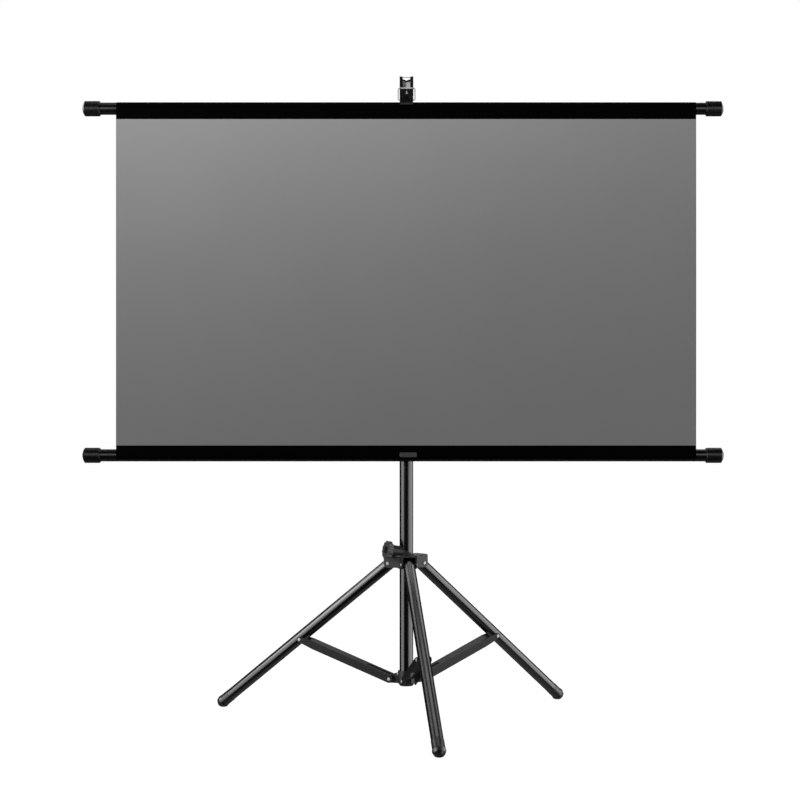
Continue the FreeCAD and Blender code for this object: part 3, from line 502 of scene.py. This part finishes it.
# %% Black band finish
band_black = new_finish("band_black", grey(0.0004), 0.62)
vary_roughness(band_black, noise_of(band_black, 0.03), 0.58, 0.68)
raise_grain(band_black, weave_of(band_black), 0.00003)
vary_colour(band_black, noise_of(band_black, 0.004), grey(0.0003), grey(0.0006))
shader_of(band_black).inputs["Specular IOR Level"].default_value = 0.006
print("band finish ready")


# %% Select by place
TOUCH = 1e-5


def select_where(piece, kind, test):
    """In edit mode, select the faces or edges whose middle passes the test."""
    mesh = bmesh.from_edit_mesh(piece.data)
    bpy.ops.mesh.select_all(action="DESELECT")
    for item in getattr(mesh, kind):
        middle = sum((corner.co for corner in item.verts), Vector()) / len(item.verts)
        item.select_set(test(middle))
    bmesh.update_edit_mesh(piece.data)


def middle_height(node):
    """The height of the middle of a CAD node's box."""
    low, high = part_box(node)
    return (low.z + high.z) / 2


print("faces and edges count as in place within", TOUCH, "m")

# %% Bands round the rods
WELD_EDGE = 0.002
WELD_WIDTH = 0.003
WELD_DEPTH = 0.0002


def make_band(name, rod_node, hem_node, unwrapped, reach):
    """A sheet round the rod, less the faces at unwrapped angles, with its front edge drawn out by reach."""
    rod_low, rod_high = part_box(rod_node)
    rod = (rod_low + rod_high) / 2
    hem_low, hem_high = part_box(hem_node)
    radius = rod.y - hem_low.y - cloth_thickness / 2
    bpy.ops.object.select_all(action="DESELECT")
    bpy.ops.mesh.primitive_cylinder_add(
        vertices=96,
        radius=radius,
        depth=hem_high.x - hem_low.x,
        end_fill_type="NOTHING",
        location=((hem_low.x + hem_high.x) / 2, rod.y, rod.z),
        rotation=(0, math.radians(90), 0),
    )
    band = bpy.context.object
    band.name = name
    bpy.ops.object.transform_apply(location=True, rotation=True, scale=True)
    bpy.ops.object.mode_set(mode="EDIT")
    select_where(band, "faces", lambda p: unwrapped(math.degrees(math.atan2(p.z - rod.z, rod.y - p.y))))
    bpy.ops.mesh.delete(type="FACE")
    bpy.ops.mesh.select_mode(type="EDGE")
    front = rod.y - radius
    select_where(band, "edges", lambda p: abs(p.y - front) < TOUCH and abs(p.z - rod.z) < TOUCH)
    bpy.ops.mesh.extrude_region_move(TRANSFORM_OT_translate={"value": (0, 0, reach)})
    bpy.ops.mesh.select_all(action="SELECT")
    bpy.ops.mesh.normals_make_consistent(inside=False)
    joint_z = rod.z + reach
    side = math.copysign(1, reach)
    for step_back in (WELD_EDGE, WELD_EDGE + WELD_WIDTH):
        bpy.ops.mesh.select_all(action="SELECT")
        bpy.ops.mesh.bisect(plane_co=(0, front, joint_z - side * step_back), plane_no=(0, 0, 1))
    bpy.ops.mesh.select_mode(type="FACE")
    weld_z = joint_z - side * (WELD_EDGE + WELD_WIDTH / 2)
    select_where(band, "faces", lambda p: abs(p.z - weld_z) < WELD_WIDTH / 4 and abs(p.y - front) < TOUCH)
    bpy.ops.mesh.inset(thickness=WELD_WIDTH / 6, depth=-WELD_DEPTH)
    bpy.ops.object.mode_set(mode="OBJECT")
    wall = band.modifiers.new("thickness", "SOLIDIFY")
    wall.thickness = cloth_thickness
    wall.offset = 0
    bpy.ops.object.modifier_apply(modifier=wall.name)
    bpy.ops.object.shade_smooth_by_angle(angle=math.radians(30))
    band.data.materials.append(band_black)
    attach(band, "screen")
    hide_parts(hem_node)
    return band, radius


TOP_WRAP = 225
TOP_OPEN = 360 - TOP_WRAP
BOTTOM_WRAP = 41.25
top_rod_z = middle_height("top_rod")
bottom_rod_z = middle_height("bottom_rod")
top_reach = top_rod_z - cloth_high.z
bottom_reach = cloth_low.z - bottom_rod_z
top_band, top_radius = make_band(
    "top_band", "top_rod", "top_hem", lambda angle: -TOP_OPEN < angle < 0, -top_reach
)
bottom_band, bottom_radius = make_band(
    "bottom_band", "bottom_rod", "bottom_hem", lambda angle: not -BOTTOM_WRAP < angle < 0, bottom_reach
)
print("bands folded round the rods")

# %% [markdown]
# ## Plate on the lower band
# A small plain plate sits on the middle of the lower band. It starts as a cube at its size, its four corners are
# rounded, then its front is inset and raised a little, so that the slope round it catches a line of light.

# %% Plate
PLATE_CORNER = 0.0016
PLATE_SLOPE = 0.0006
PLATE_RAISE = 0.0002
plate_size = Vector((0.038, 0.0008, 0.0108))
plate_right = 0.0039
plate_up = 0.0017
band_front = bottom_band.bound_box[0][1]
plate_place = Vector((plate_right, band_front - plate_size.y / 2, bottom_rod_z + plate_up))


def at_corner(middle):
    """True for the four edges that run through the plate from front to back."""
    off_side = abs(middle.x - plate_place.x) - plate_size.x / 2
    off_top = abs(middle.z - plate_place.z) - plate_size.z / 2
    return abs(off_side) < TOUCH and abs(off_top) < TOUCH


bpy.ops.object.select_all(action="DESELECT")
bpy.ops.mesh.primitive_cube_add(size=1, location=plate_place)
plate = bpy.context.object
plate.name = "bare_plate"
plate.scale = plate_size
bpy.ops.object.transform_apply(location=True, rotation=True, scale=True)
bpy.ops.object.mode_set(mode="EDIT")
bpy.ops.mesh.select_mode(type="EDGE")
select_where(plate, "edges", at_corner)
bpy.ops.mesh.bevel(offset=PLATE_CORNER, segments=5)
select_where(plate, "faces", lambda p: p.y < plate_place.y - plate_size.y / 2 + TOUCH)
bpy.ops.mesh.inset(thickness=PLATE_SLOPE, depth=PLATE_RAISE)
bpy.ops.object.mode_set(mode="OBJECT")
plate_grey = new_finish("plate_grey", grey(0.022), 0.4)
vary_roughness(plate_grey, noise_of(plate_grey, 0.002), 0.34, 0.46)
raise_grain(plate_grey, noise_of(plate_grey, 0.0006), 0.00002)
plate.data.materials.append(plate_grey)
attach(plate, "screen")
print("plate", [round(side * 1000, 1) for side in plate.dimensions], "mm")

# %% [markdown]
# ## Cups in the clamp knobs
# Each clamp knob has a dark cup on the middle of its face, over the head of its stud. A cup is turned from a short
# cylinder: its face is inset and pushed in, then the rim is rounded with a bevel. It is modelled once, standing up,
# and each knob gets a copy that is turned to the knob's own axis.

# %% One cup
CUP_RADIUS = 0.0085
CUP_RIM = 0.0011
CUP_HOLE = 0.0042
CUP_DEPTH = 0.0025
CUP_RING = 0.0016
CUP_DISH = 0.0006
CUP_STEP = 0.0012
CUP_CROWN = 0.0004
CUP_BEVEL = 0.0003
bpy.ops.object.select_all(action="DESELECT")
bpy.ops.mesh.primitive_cylinder_add(
    vertices=64,
    radius=CUP_RADIUS,
    depth=CUP_RIM,
    location=(0, 0, CUP_RIM / 2),
)
cup = bpy.context.object
cup.name = "knob_cup"
bpy.ops.object.transform_apply(location=True, rotation=True, scale=True)
bpy.ops.object.mode_set(mode="EDIT")
bpy.ops.mesh.select_mode(type="FACE")
select_where(cup, "faces", lambda p: p.z > CUP_RIM - TOUCH)
bpy.ops.mesh.inset(thickness=CUP_RING, depth=0)
bpy.ops.mesh.inset(thickness=CUP_RADIUS - CUP_RING - CUP_HOLE, depth=-CUP_DISH)
bpy.ops.mesh.extrude_region_move(TRANSFORM_OT_translate={"value": (0, 0, -CUP_DEPTH)})
bpy.ops.mesh.inset(thickness=CUP_STEP, depth=CUP_CROWN)
bpy.ops.object.mode_set(mode="OBJECT")
rim = cup.modifiers.new("rim", "BEVEL")
rim.width = CUP_BEVEL
rim.segments = 3
rim.limit_method = "ANGLE"
rim.angle_limit = math.radians(40)
bpy.ops.object.modifier_apply(modifier=rim.name)
bpy.ops.object.shade_smooth_by_angle(angle=math.radians(30))
cup_black = moulded("cup_black", 0.002, 0.5, 0.1, 0.0006, 0.00001)
cup.data.materials.append(cup_black)
print("cup", round(CUP_RADIUS * 2000, 1), "mm across")

# %% A cup on each knob
turns = {joint["name"]: joint for joint in frame["record"]["behaviour"]["joints"]}
for knob in ("hub_knob", "mast_knob"):
    turn = turns[knob + "_turn"]
    axis = Vector(turn["axis"]).normalized()
    start = Vector(turn["pos_m"])
    face = max((point.co - start).dot(axis) for point in frame["nodes"][knob].data.vertices)
    knob_cup = cup.copy()
    knob_cup.data = cup.data.copy()
    knob_cup.name = knob + "_cup"
    bpy.context.collection.objects.link(knob_cup)
    knob_cup.rotation_euler = axis.to_track_quat("Z", "Y").to_euler()
    knob_cup.location = start + axis * face
    bpy.ops.object.select_all(action="DESELECT")
    knob_cup.select_set(True)
    bpy.context.view_layer.objects.active = knob_cup
    bpy.ops.object.transform_apply(location=True, rotation=True, scale=True)
    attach(knob_cup, knob)
    print(knob_cup.name, "sits", round(face * 1000, 1), "mm out on its axis")
bpy.data.objects.remove(cup)
